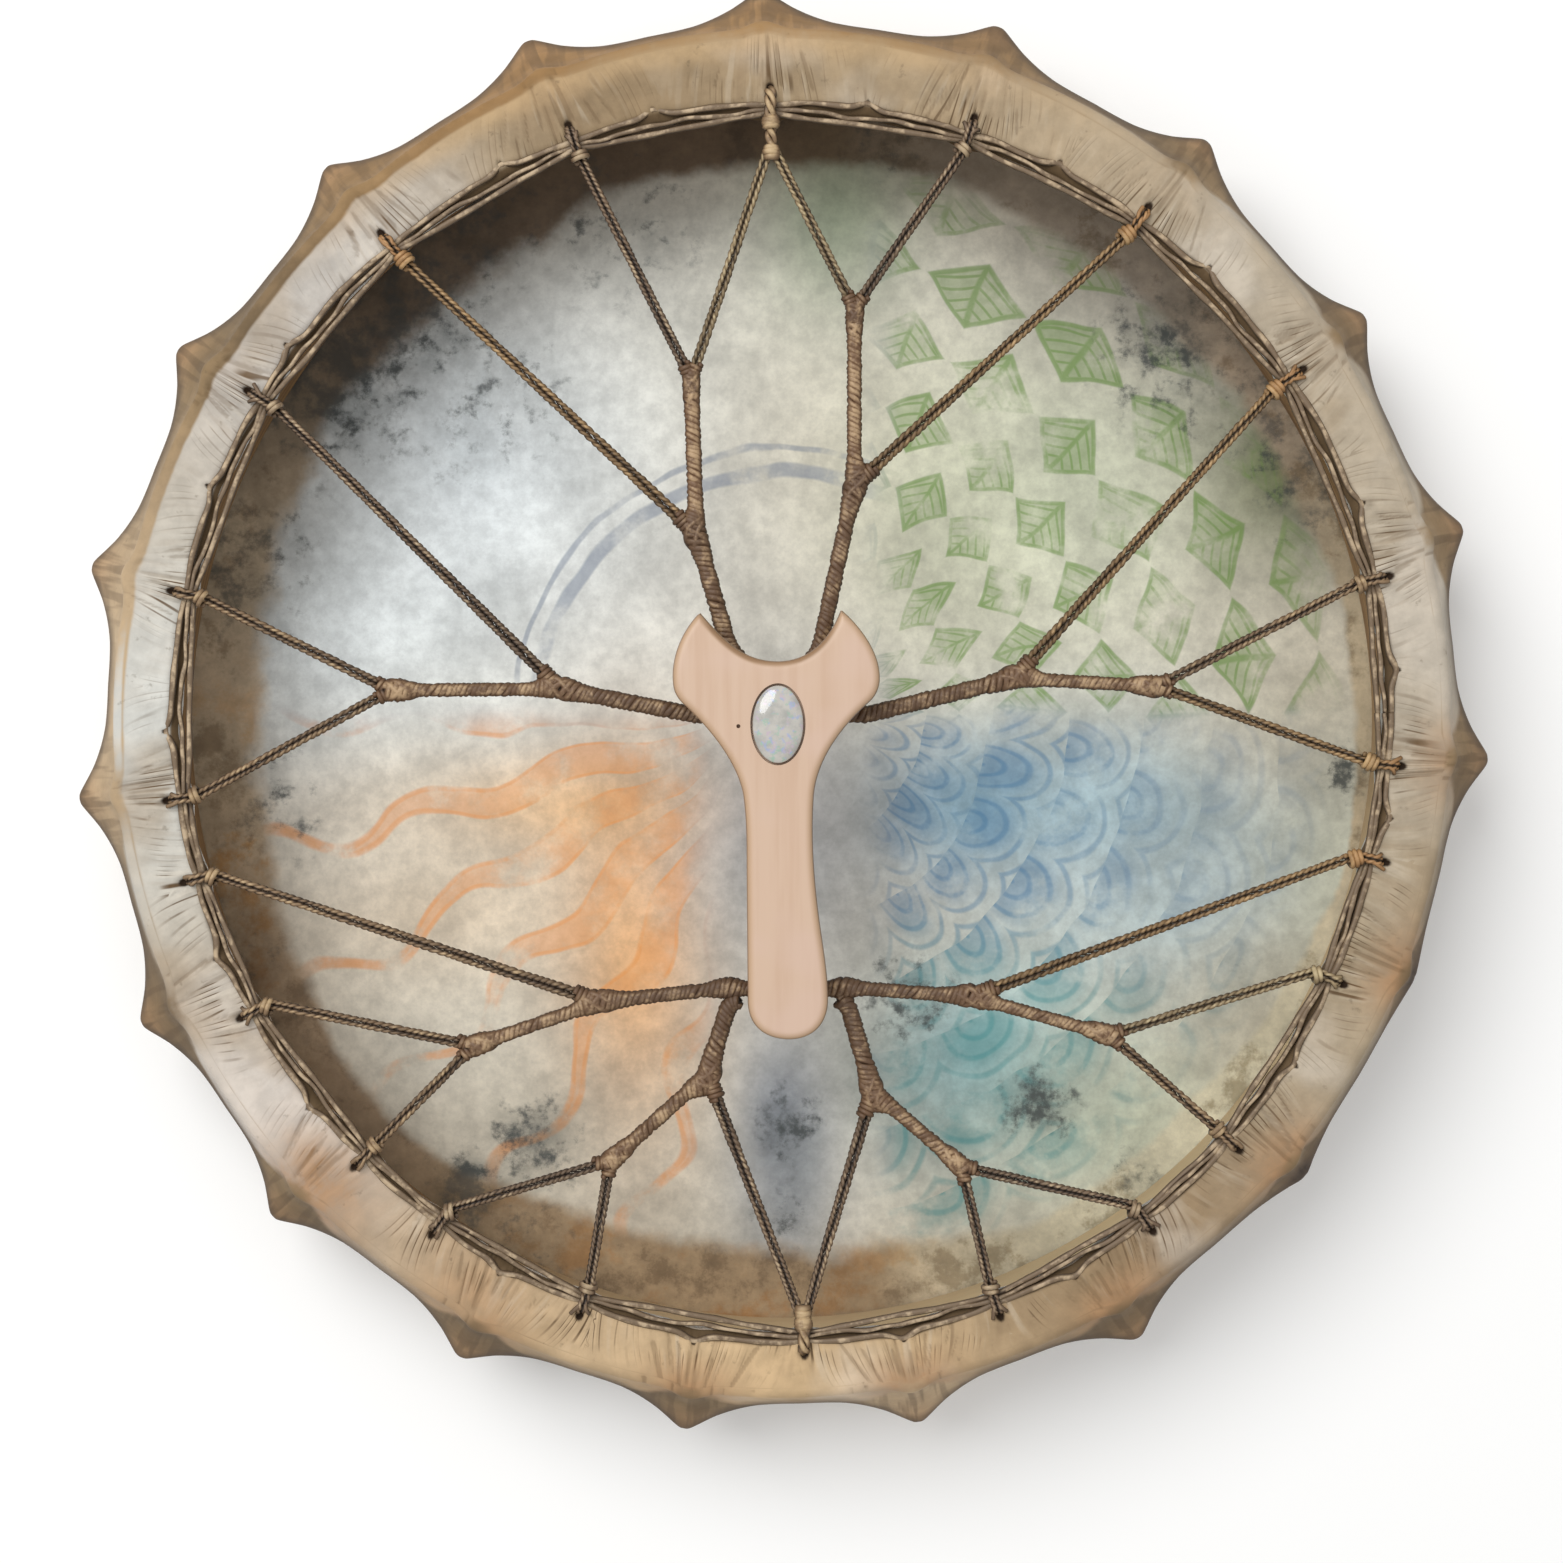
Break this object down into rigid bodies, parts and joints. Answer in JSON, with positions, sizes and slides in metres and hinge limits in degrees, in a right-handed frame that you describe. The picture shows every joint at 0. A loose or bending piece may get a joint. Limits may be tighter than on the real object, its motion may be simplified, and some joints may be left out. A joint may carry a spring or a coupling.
{
  "type": "shaman drum",
  "caption": "Round hand-held frame drum of rawhide tented over pegs on a bent wooden hoop, with a laced back and a forked wooden grip set with an oval stone.",
  "frame": {"origin": "centre of the head's outer face, which the drum lies on", "axes": "+Z out of the laced back, +Y towards the forked end of the handle, +X to the right seen from the back"},
  "size_m": [0.5422, 0.5533, 0.0966],
  "materials": {
    "rawhide": "satin",
    "bent_wood": "matte",
    "peeled_wood": "satin",
    "sinew": "satin",
    "rim_cord": "matte",
    "cabochon": "polished"
  },
  "bodies": {
    "root": {"hide": "rawhide", "hoop": "bent_wood", "peg_01": "bent_wood", "peg_02": "bent_wood", "peg_03": "bent_wood", "peg_04": "bent_wood", "peg_05": "bent_wood", "peg_06": "bent_wood", "peg_07": "bent_wood", "peg_08": "bent_wood", "peg_09": "bent_wood", "peg_10": "bent_wood", "peg_11": "bent_wood", "peg_12": "bent_wood", "peg_13": "bent_wood", "peg_14": "bent_wood", "peg_15": "bent_wood", "peg_16": "bent_wood", "peg_17": "bent_wood", "peg_18": "bent_wood", "peg_19": "bent_wood", "rim_lacing": "rim_cord", "loop_fork_end": "sinew", "loop_stem_end": "sinew", "spoke_01": "sinew", "spoke_02": "sinew", "spoke_03": "sinew", "spoke_04": "sinew", "spoke_05": "sinew", "spoke_06": "sinew", "spoke_07": "sinew", "spoke_08": "sinew", "spoke_09": "sinew", "spoke_10": "sinew", "spoke_11": "sinew", "spoke_12": "sinew", "spoke_13": "sinew", "spoke_14": "sinew", "spoke_15": "sinew", "spoke_16": "sinew", "spoke_17": "sinew", "spoke_18": "sinew", "spoke_19": "sinew", "spoke_20": "sinew", "spoke_21": "sinew", "spoke_22": "sinew", "spoke_23": "sinew", "spoke_24": "sinew", "bundle_1": "sinew", "bundle_2": "sinew", "bundle_3": "sinew", "bundle_4": "sinew", "bundle_5": "sinew", "bundle_6": "sinew", "bundle_7": "sinew", "bundle_8": "sinew", "head_binding": "sinew", "stem_binding": "sinew", "handle": "peeled_wood", "stone": "cabochon"}
  },
  "joints": []
}
